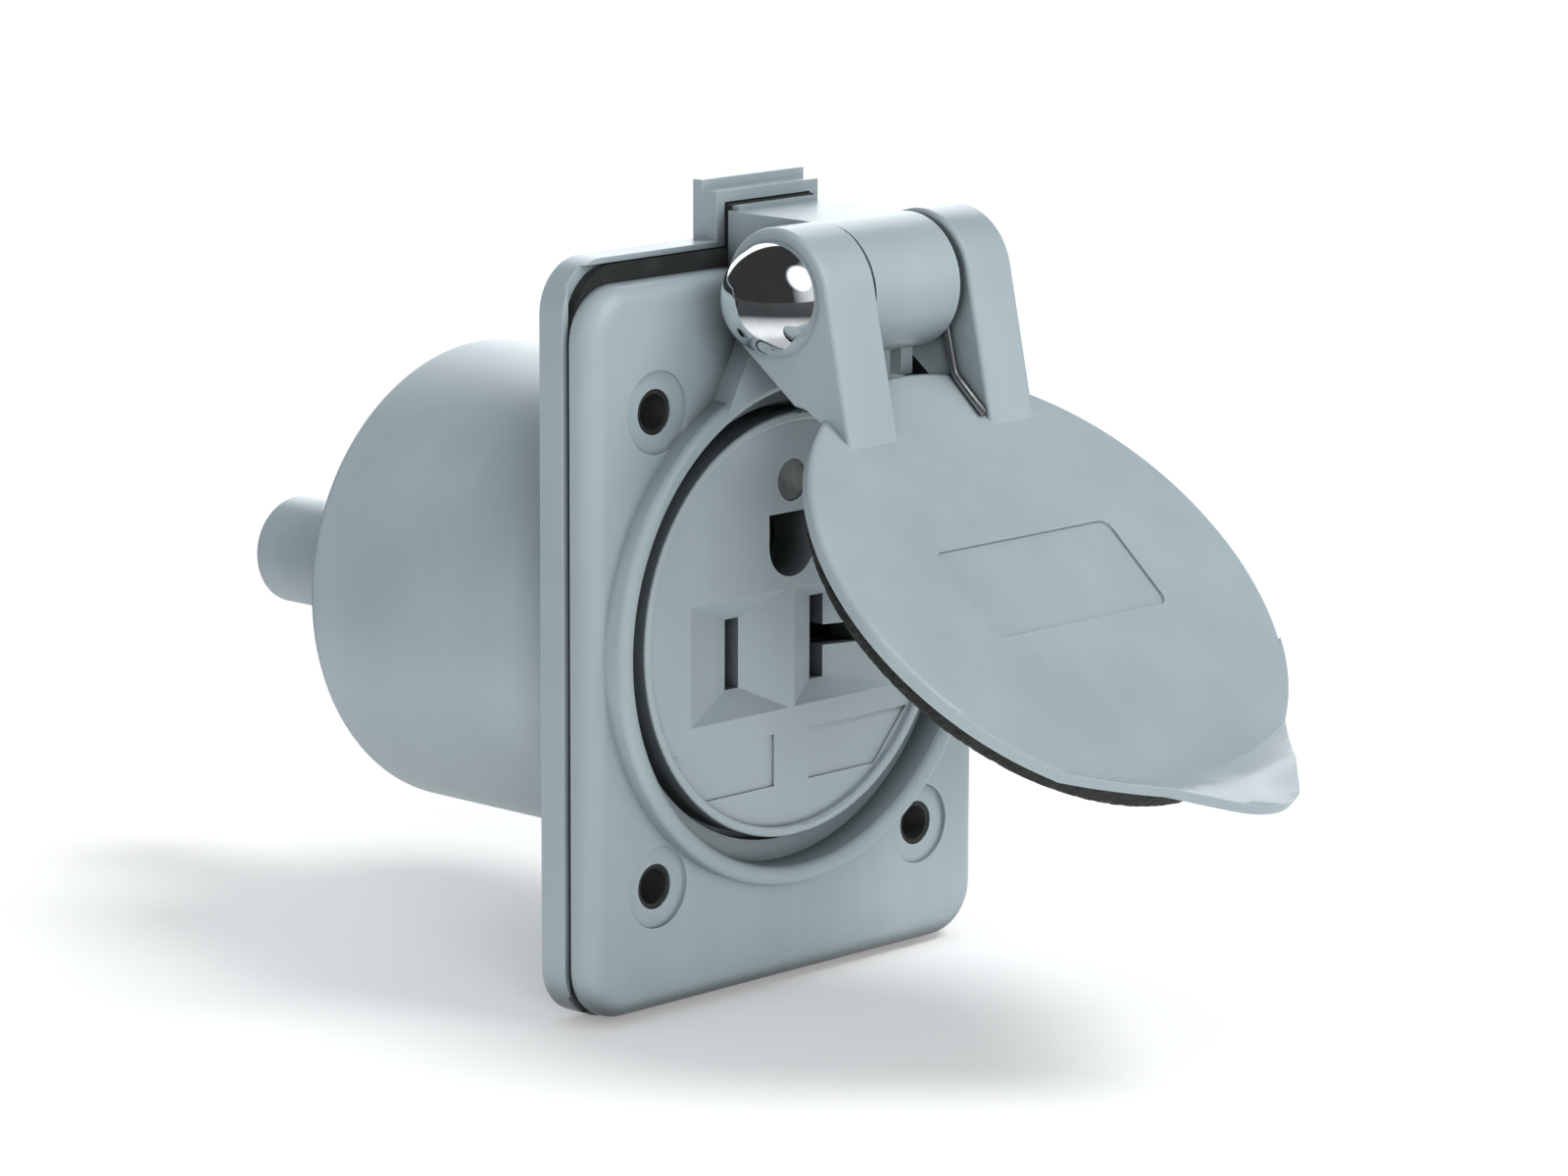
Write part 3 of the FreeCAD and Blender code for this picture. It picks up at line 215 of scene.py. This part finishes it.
def rubber(name, base=(0.016, 0.018, 0.018), light=(0.06, 0.065, 0.065), foam=False):
    """Matt black rubber with a dusty bloom; foam adds open pores with painted shade in their centres."""
    material, tree, shader = new_material(name)
    at = coords(tree)
    dust = noise_of(tree, at, 260.0, 5.0, 0.65)
    grain = noise_of(tree, at, 2200.0, 3.0)
    factor = combine(tree, "MULTIPLY", ramp(tree, dust, 0.5, 0.8), 0.6)
    colour = mix_colour(tree, factor, rgba(*base), rgba(*light))
    value_in(tree, shader.inputs["Roughness"], ramp(tree, dust, 0.3, 0.7, 0.62, 0.85))
    height = grain
    if foam:
        pores = tree.nodes.new("ShaderNodeTexVoronoi")
        pores.inputs["Scale"].default_value = 1500.0
        tree.links.new(at, pores.inputs["Vector"])
        height = combine(tree, "ADD", combine(tree, "MULTIPLY", pores.outputs["Distance"], 1.6), grain)
        # Painted shade: each pore's centre darkened towards black.
        painted_pore_shade = ramp(tree, pores.outputs["Distance"], 0.0, 0.45)
        colour = mix_colour(tree, painted_pore_shade, rgba(0.004, 0.004, 0.004), colour)
    value_in(tree, shader.inputs["Base Color"], colour)
    value_in(tree, shader.inputs["Normal"], bump(tree, height, 0.12 * MM if foam else 0.03 * MM, 0.6))
    return material


def metal(name, base, dark, roughness=0.3, stretch=(1, 30, 1), grain_depth=0.01, wear_light=None):
    """Metal with drawn or turned grain, tarnish in patches and brighter rubbed edges."""
    material, tree, shader = new_material(name)
    brush = noise_of(tree, coords(tree, stretch), 700.0, 4.0, 0.6)
    patch = noise_of(tree, coords(tree), 160.0, 4.0, 0.6)
    wear_and_highlight = edge_wear_and_highlight(tree, 0.2 * MM)
    colour = mix_colour(tree, ramp(tree, patch, 0.35, 0.7), rgba(*base), rgba(*dark))
    bright = wear_light or tuple(min(1.0, part * 1.25) for part in base)
    colour = mix_colour(tree, combine(tree, "MULTIPLY", wear_and_highlight, 0.6), colour, rgba(*bright))
    value_in(tree, shader.inputs["Base Color"], colour)
    shader.inputs["Metallic"].default_value = 1.0
    value_in(tree, shader.inputs["Roughness"], ramp(tree, brush, 0.3, 0.7, roughness - 0.06, roughness + 0.1))
    value_in(tree, shader.inputs["Normal"], bump(tree, brush, grain_depth * MM, 0.4))
    return material


def chrome(name):
    """Bright plate with a slight orange peel, faint haze and fine wipe marks."""
    material, tree, shader = new_material(name)
    at = coords(tree)
    haze = noise_of(tree, at, 420.0, 5.0, 0.6)
    peel = noise_of(tree, at, 900.0, 2.0)
    colour = mix_colour(tree, ramp(tree, haze, 0.35, 0.75), rgba(0.86, 0.88, 0.9), rgba(0.7, 0.72, 0.74))
    value_in(tree, shader.inputs["Base Color"], colour)
    shader.inputs["Metallic"].default_value = 1.0
    value_in(tree, shader.inputs["Roughness"], ramp(tree, haze, 0.4, 0.8, 0.03, 0.12))
    value_in(tree, shader.inputs["Normal"], bump(tree, peel, 0.004 * MM, 0.3))
    return material


GREY = (0.295, 0.36, 0.385)
GREY_DARK = (0.265, 0.325, 0.35)
GREY_LIGHT = (0.40, 0.46, 0.48)

MATERIALS = {
    "plate_plastic": moulded_plastic("plate_plastic", GREY, GREY_DARK, GREY_LIGHT),
    "cup_plastic": moulded_plastic("cup_plastic", (0.305, 0.37, 0.395), GREY_DARK, GREY_LIGHT, 0.36, 1.0),
    "lid_plastic": moulded_plastic("lid_plastic", (0.30, 0.36, 0.385), GREY_DARK, GREY_LIGHT, 0.32, 0.15),
    "face_plastic": moulded_plastic("face_plastic", (0.34, 0.405, 0.43), (0.31, 0.37, 0.395),
                                    GREY_LIGHT, 0.4),
    "base_plastic": moulded_plastic("base_plastic", (0.03, 0.03, 0.032), (0.02, 0.02, 0.022),
                                    (0.08, 0.08, 0.08)),
    "gasket_rubber": rubber("gasket_rubber"),
    "foam_rubber": rubber("foam_rubber", foam=True),
    "bright_chrome": chrome("bright_chrome"),
    "pin_steel": metal("pin_steel", (0.62, 0.63, 0.64), (0.42, 0.43, 0.44)),
    "spring_wire": metal("spring_wire", (0.5, 0.5, 0.49), (0.3, 0.3, 0.29), 0.35),
    "zinc_plate": metal("zinc_plate", (0.66, 0.67, 0.66), (0.48, 0.49, 0.48), 0.34),
    "nickel_plate": metal("nickel_plate", (0.42, 0.44, 0.44), (0.26, 0.28, 0.28), 0.36),
    "contact_brass": metal("contact_brass", (0.8, 0.6, 0.28), (0.55, 0.38, 0.16), 0.3),
    "green_plate": metal("green_plate", (0.08, 0.36, 0.14), (0.04, 0.2, 0.08), 0.35,
                         wear_light=(0.6, 0.62, 0.6)),
}

NODE_MATERIAL = {
    "front_plate": "plate_plastic", "back_cup": "cup_plastic", "lid": "lid_plastic",
    "receptacle_face": "face_plastic", "receptacle_base": "base_plastic", "plate_gasket": "gasket_rubber",
    "face_seal": "gasket_rubber", "cable_grommet": "gasket_rubber", "lid_gasket": "foam_rubber",
    "hinge_pin": "pin_steel", "pin_caps": "bright_chrome", "lid_spring": "spring_wire",
    "face_rivet": "nickel_plate", "base_screws": "zinc_plate", "wire_clamps": "zinc_plate",
    "hot_contact": "contact_brass", "neutral_contact": "contact_brass", "ground_contact": "contact_brass",
    "hot_screw": "contact_brass", "neutral_screw": "nickel_plate", "ground_screw": "green_plate",
}


def dress(piece, material_name):
    piece.data.materials.clear()
    piece.data.materials.append(MATERIALS[material_name])


def soften(piece, width, segments=2, angle=35.0):
    """Welds the imported mesh and rounds its sharp edges, as a mould or a press leaves them."""
    weld = piece.modifiers.new("weld", "WELD")
    weld.merge_threshold = 0.002 * MM
    bevel = piece.modifiers.new("edge_round", "BEVEL")
    bevel.width = width
    bevel.segments = segments
    bevel.limit_method = "ANGLE"
    bevel.angle_limit = math.radians(angle)
    bevel.use_clamp_overlap = True
    bevel.harden_normals = False
    normals = piece.modifiers.new("even_normals", "WEIGHTED_NORMAL")
    normals.keep_sharp = True


for node_name, node in NODES.items():
    dress(node, NODE_MATERIAL[node_name])

# Width in millimetres of the small rounding that moulding or pressing leaves on each piece's edges.
EDGE_ROUNDING = {
    "front_plate": 0.18, "back_cup": 0.2, "receptacle_face": 0.14, "lid": 0.15, "receptacle_base": 0.2,
    "wire_clamps": 0.12, "face_rivet": 0.25, "base_screws": 0.25, "hot_screw": 0.2, "neutral_screw": 0.2,
    "ground_screw": 0.2,
}

for node_name, edge in EDGE_ROUNDING.items():
    soften(NODES[node_name], edge * MM)

# ---------------------------------------------------------------- foam pad and spring

SWING = (Matrix.Translation(HINGE) @ Matrix.Rotation(math.radians(-OPEN_DEG), 4, "X")
         @ Matrix.Translation(-HINGE))


def add_object(name, mesh):
    item = bpy.data.objects.new(name, mesh)
    bpy.context.scene.collection.objects.link(item)
    return item


def shade_smooth(mesh):
    for face in mesh.polygons:
        face.use_smooth = True


def closed_box(name):
    """Box of a flip_lid node as it lies with the lid closed: corners turned back about the hinge."""
    back = SWING.inverted()
    points = [back @ vertex.co for vertex in NODES[name].data.vertices]
    low = Vector([min(point[axis] for point in points) for axis in range(3)])
    high = Vector([max(point[axis] for point in points) for axis in range(3)])
    return low, high


FOAM_TURN = 540
FOAM_RINGS = 34
FOAM_FLAT_SHARE = 0.96
FOAM_PITTED_SHARE = 0.8
FOAM_CROWN = 0.75 * MM
FOAM_CROWN_STEPS = 7
FOAM_WALL_ROWS = 7
FOAM_TEAR = 0.16 * MM
FOAM_PIT = 0.08 * MM
FOAM_CELL = 0.55 * MM
FOAM_FINE_CELL = 0.25 * MM
FOAM_FINE_WEIGHT = 0.6


def foam_profile(radius, thick):
    """Radius and depth of each ring of the pad, from the middle of its rear face round to the lid."""
    rings = [(radius * FOAM_FLAT_SHARE * (index + 1) / FOAM_RINGS, 0.0) for index in range(FOAM_RINGS)]
    for index in range(1, FOAM_CROWN_STEPS + 1):
        turn = math.radians(90 * index / FOAM_CROWN_STEPS)
        inner = radius - FOAM_CROWN
        rings.append((inner + FOAM_CROWN * math.sin(turn), FOAM_CROWN * (1 - math.cos(turn))))
    for index in range(1, FOAM_WALL_ROWS + 1):
        rings.append((radius, FOAM_CROWN + (thick - FOAM_CROWN) * index / FOAM_WALL_ROWS))
    return rings


def make_foam_pad():
    """Die-cut closed-cell foam disc: crowned rear edge with torn open cells all round."""
    low, high = closed_box("lid_gasket")
    radius = (high.x - low.x) / 2 - FOAM_TEAR
    thick = high.y - low.y
    rear = high.y
    builder = bmesh.new()
    middle = builder.verts.new((0, rear, 0))
    loops = []
    for ring_radius, depth in foam_profile(radius, thick):
        loop = []
        for step in range(FOAM_TURN):
            turn = 2 * math.pi * step / FOAM_TURN
            outward = Vector((math.cos(turn), 0, math.sin(turn)))
            spot = outward * ring_radius + Vector((0, rear - depth, 0))
            cell = noise.noise(spot / FOAM_CELL) + FOAM_FINE_WEIGHT * noise.noise(spot / FOAM_FINE_CELL)
            if ring_radius > radius - FOAM_CROWN:
                spot += outward * FOAM_TEAR * cell
            if depth < thick * FOAM_PITTED_SHARE:
                spot.y -= abs(cell) * FOAM_PIT
            loop.append(builder.verts.new(spot))
        loops.append(loop)
    for step in range(FOAM_TURN):
        after = (step + 1) % FOAM_TURN
        builder.faces.new((middle, loops[0][step], loops[0][after]))
        for inner, outer in zip(loops, loops[1:]):
            builder.faces.new((inner[step], outer[step], outer[after], inner[after]))
    builder.faces.new(loops[-1])
    bmesh.ops.recalc_face_normals(builder, faces=builder.faces)
    mesh = bpy.data.meshes.new("foam_pad")
    builder.to_mesh(mesh)
    builder.free()
    mesh.transform(SWING)
    shade_smooth(mesh)
    pad = add_object("foam_pad", mesh)
    dress(pad, "foam_rubber")
    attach(pad, "flip_lid")
    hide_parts("lid_gasket")


def tube_mesh(name, path, radius, sides=12):
    """A round wire along path, with its two ends closed."""
    builder = bmesh.new()
    loops = []
    side = Vector((0, 0, 1))
    for index, point in enumerate(path):
        along = (path[min(index + 1, len(path) - 1)] - path[max(index - 1, 0)]).normalized()
        side = (side - along * side.dot(along)).normalized()
        other = along.cross(side)
        loop = []
        for step in range(sides):
            turn = 2 * math.pi * step / sides
            loop.append(builder.verts.new(point + radius * (math.cos(turn) * side + math.sin(turn) * other)))
        loops.append(loop)
    for first, second in zip(loops, loops[1:]):
        for step in range(sides):
            after = (step + 1) % sides
            builder.faces.new((first[step], second[step], second[after], first[after]))
    builder.faces.new(loops[0])
    builder.faces.new(loops[-1])
    bmesh.ops.recalc_face_normals(builder, faces=builder.faces)
    mesh = bpy.data.meshes.new(name)
    builder.to_mesh(mesh)
    builder.free()
    shade_smooth(mesh)
    return mesh


WIRE = 0.4 * MM
COIL = 3.3 * MM
COIL_LEFT = -4.1 * MM
COIL_RIGHT = 6.6 * MM
COIL_TURNS = 10
STEPS_PER_TURN = 24
TAIL_END = -5.8 * MM
LEG_FWD = 14.42 * MM
KNEE_UP = 26.0 * MM
TOE_UP = 20.6 * MM
KNEE_BEND = 0.6 * MM


def spring_path():
    """Tail, coil, leg and toe of the lid's torsion spring, in the rest pose."""
    rise = KNEE_UP - HINGE.z
    run = -HINGE.y - LEG_FWD
    leaves = math.atan2(rise, run) - math.acos(COIL / math.hypot(rise, run))
    start = leaves - math.radians(OPEN_DEG)
    steps = STEPS_PER_TURN * COIL_TURNS
    path = [Vector((TAIL_END, HINGE.y + COIL * math.cos(start), HINGE.z + COIL * math.sin(start)))]
    for index in range(steps + 1):
        turn = start + 2 * math.pi * index / STEPS_PER_TURN
        x = COIL_LEFT + (COIL_RIGHT - COIL_LEFT) * index / steps
        path.append(Vector((x, HINGE.y + COIL * math.cos(turn), HINGE.z + COIL * math.sin(turn))))
    end = path[-1]
    knee = SWING @ Vector((COIL_RIGHT, -LEG_FWD, KNEE_UP))
    toe = SWING @ Vector((COIL_RIGHT, -LEG_FWD, TOE_UP))
    before = knee + (end - knee).normalized() * KNEE_BEND
    after = knee + (toe - knee).normalized() * KNEE_BEND
    path += [end.lerp(knee, 0.5), before, (before + after + 2 * knee) / 4, after, toe]
    return path


def make_spring():
    spring = add_object("spring_coil", tube_mesh("spring_coil", spring_path(), WIRE))
    dress(spring, "spring_wire")
    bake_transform(spring)
    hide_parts("lid_spring")


make_foam_pad()
make_spring()

# ---------------------------------------------------------------- stage, light and camera

FLOOR_DROP = 0.5 * MM
FLOOR_REACH = 3.0
FLOOR_NEAR = 0.08
FLOOR_FAR = 0.17
FLOOR_GLOW = 0.2
KEY_TRAVEL = Vector((-0.25, 0.5, -0.83))
KEY_ENERGY = 1.5
FILL_TRAVEL = Vector((0.55, 0.81, -0.2))
FILL_ENERGY = 1.6
SUN_ANGLE = math.radians(24)
SKY = 0.52
SKY_TINT = rgba(0.95, 0.98, 1.0)
# What reflections see: a dark room with bright banks, each a direction, where its edge starts and ends
# (cosines of the angle from that direction) and its strength.
ROOM_DARK = 0.04
BANKS = (
    ((0.7, 0.68, 0.21), 0.8, 0.9, 2.8),
    ((0.1, -0.74, 0.68), 0.9, 0.96, 2.2),
    ((0.55, -0.8, 0.2), 0.6, 0.95, 0.8),
)


def glossy_ray(tree):
    return tree.nodes.new("ShaderNodeLightPath").outputs["Is Glossy Ray"]


def make_stage():
    level = CAD_BOX[0].z - FLOOR_DROP
    far = FLOOR_REACH
    mesh = bpy.data.meshes.new("studio_floor")
    mesh.from_pydata([(-far, -far, level), (far, -far, level), (far, far, level), (-far, far, level)], [],
                     [(0, 1, 2, 3)])
    floor = add_object("studio_floor", mesh)
    material, tree, shader = new_material("studio_white")
    speck = noise_of(tree, coords(tree), 30.0, 3.0)
    paper = mix_colour(tree, speck, rgba(0.9, 0.9, 0.9), rgba(0.93, 0.93, 0.93))
    # Painted reflection: in reflections the floor fades from paper white near the middle to near black beyond
    # FLOOR_FAR.
    length = tree.nodes.new("ShaderNodeVectorMath")
    length.operation = "LENGTH"
    tree.links.new(coords(tree), length.inputs[0])
    fade = ramp(tree, length.outputs["Value"], FLOOR_NEAR, FLOOR_FAR)
    dim = combine(tree, "MULTIPLY", glossy_ray(tree), fade)
    value_in(tree, shader.inputs["Base Color"], mix_colour(tree, dim, paper, rgba(0.05, 0.052, 0.053)))
    shader.inputs["Roughness"].default_value = 0.9
    shader.inputs["Emission Color"].default_value = rgba(1.0, 1.0, 1.0)
    value_in(tree, shader.inputs["Emission Strength"],
             combine(tree, "MULTIPLY", combine(tree, "SUBTRACT", 1.0, dim), FLOOR_GLOW))
    floor.data.materials.append(material)


def bank_glow(tree, direction, toward, start, end, strength):
    dot = tree.nodes.new("ShaderNodeVectorMath")
    dot.operation = "DOT_PRODUCT"
    tree.links.new(direction, dot.inputs[0])
    dot.inputs[1].default_value = Vector(toward).normalized()
    return ramp(tree, dot.outputs["Value"], start, end, 0.0, strength)


def make_world():
    """Even pale fill for the surfaces themselves; reflections see the dark room and its bright banks."""
    world = bpy.data.worlds.new("studio_world")
    world.use_nodes = True
    tree = world.node_tree
    background = tree.nodes["Background"]
    direction = tree.nodes.new("ShaderNodeTexCoord").outputs["Generated"]
    room = ROOM_DARK
    for toward, start, end, strength in BANKS:
        room = combine(tree, "ADD", bank_glow(tree, direction, toward, start, end, strength), room)
    glossy = glossy_ray(tree)
    plain = combine(tree, "MULTIPLY", combine(tree, "SUBTRACT", 1.0, glossy), SKY)
    value_in(tree, background.inputs["Color"], SKY_TINT)
    value_in(tree, background.inputs["Strength"],
             combine(tree, "ADD", plain, combine(tree, "MULTIPLY", glossy, room)))
    bpy.context.scene.world = world


def make_sun(name, travel, energy):
    """A wide soft sun that lights surfaces but isn't mirrored in them."""
    data = bpy.data.lights.new(name, "SUN")
    data.energy = energy
    data.angle = SUN_ANGLE
    sun = add_object(name, data)
    sun.visible_glossy = False
    sun.rotation_mode = "QUATERNION"
    sun.rotation_quaternion = travel.to_track_quat("-Z", "Y")


def make_lights():
    make_sun("key", KEY_TRAVEL, KEY_ENERGY)
    make_sun("left_fill", FILL_TRAVEL, FILL_ENERGY)
    make_world()
    bpy.context.scene.view_settings.view_transform = "Standard"


# The camera: the angles it looks from, its distance, how far its axis misses the ring's centre, and its
# focal length as a multiple of the picture's width.
CAMERA_AZ = math.radians(-46.45)
CAMERA_EL = math.radians(11.2)
CAMERA_ROLL = math.radians(0.2)
CAMERA_DISTANCE = 638 * MM
CAMERA_SIDE = 0.78 * MM
CAMERA_RISE = -3.58 * MM
SENSOR = 36.0
FOCAL_IN_WIDTHS = 3.9375
RING_CENTRE = Vector((0, -6.95 * MM, 0))


def make_camera():
    back = Vector((math.sin(CAMERA_AZ) * math.cos(CAMERA_EL), -math.cos(CAMERA_AZ) * math.cos(CAMERA_EL),
                   math.sin(CAMERA_EL)))
    flat_right = Vector((math.cos(CAMERA_AZ), math.sin(CAMERA_AZ), 0))
    flat_up = back.cross(flat_right)
    right = math.cos(CAMERA_ROLL) * flat_right + math.sin(CAMERA_ROLL) * flat_up
    up = -math.sin(CAMERA_ROLL) * flat_right + math.cos(CAMERA_ROLL) * flat_up
    data = bpy.data.cameras.new("photo_camera")
    data.sensor_width = SENSOR
    data.lens = FOCAL_IN_WIDTHS * SENSOR
    data.clip_start = 0.01
    data.clip_end = 10.0
    camera = bpy.data.objects.new("photo_camera", data)
    rotation = Matrix((right, up, back)).transposed()
    place = RING_CENTRE + CAMERA_DISTANCE * back - CAMERA_SIDE * right - CAMERA_RISE * up
    camera.matrix_world = Matrix.Translation(place) @ rotation.to_4x4()
    bpy.context.scene.collection.objects.link(camera)
    bpy.context.scene.camera = camera


make_stage()
make_lights()
make_camera()
